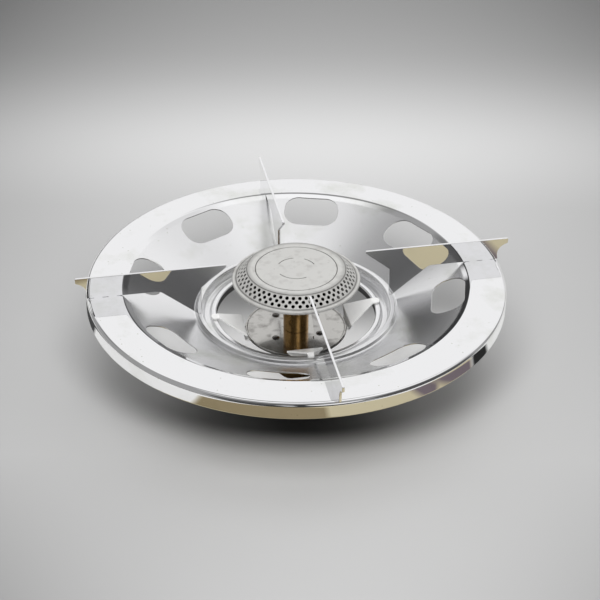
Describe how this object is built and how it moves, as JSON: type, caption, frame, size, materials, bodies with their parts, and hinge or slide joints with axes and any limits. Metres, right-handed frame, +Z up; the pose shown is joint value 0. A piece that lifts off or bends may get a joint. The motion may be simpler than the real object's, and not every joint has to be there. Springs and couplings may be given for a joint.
{
  "type": "gas stove",
  "caption": "Portable gas stove that screws onto a cylinder: slotted chrome dish, blade pot rests and a perforated burner head on a brass mixing tube.",
  "frame": {"origin": "on the stove's axis, level with the bottom of the union nut that it stands on", "axes": "+Z up along the burner's axis; +X and +Y along two pot rests"},
  "size_m": [0.264, 0.264, 0.0788],
  "materials": {
    "chrome": "polished",
    "satin_steel": "satin",
    "cast_aluminium": "matte",
    "brass": "satin",
    "sintered_bronze": "matte",
    "rubber": "matte"
  },
  "bodies": {
    "stove": {"dish": "chrome", "spider": "chrome", "heat_disc": "satin_steel", "disc_rivets": "satin_steel", "burner_cap": "cast_aluminium", "diffuser": "satin_steel", "head_nut": "brass", "head_washer": "satin_steel", "burner_cup": "cast_aluminium", "mixing_tube": "brass", "lock_washer": "satin_steel", "inlet_body": "brass", "gas_jet": "brass", "inlet_filter": "sintered_bronze", "sealing_washer": "rubber", "pot_rest_right": "chrome", "pot_rest_back": "chrome", "pot_rest_left": "chrome", "pot_rest_front": "chrome"},
    "nut": {"union_nut": "brass"}
  },
  "joints": [
    {"name": "union_nut_spin", "type": "hinge", "parent": "stove", "child": "nut", "pos_m": [0, 0, 0.008], "axis": [0, 0, 1], "continuous": true}
  ]
}
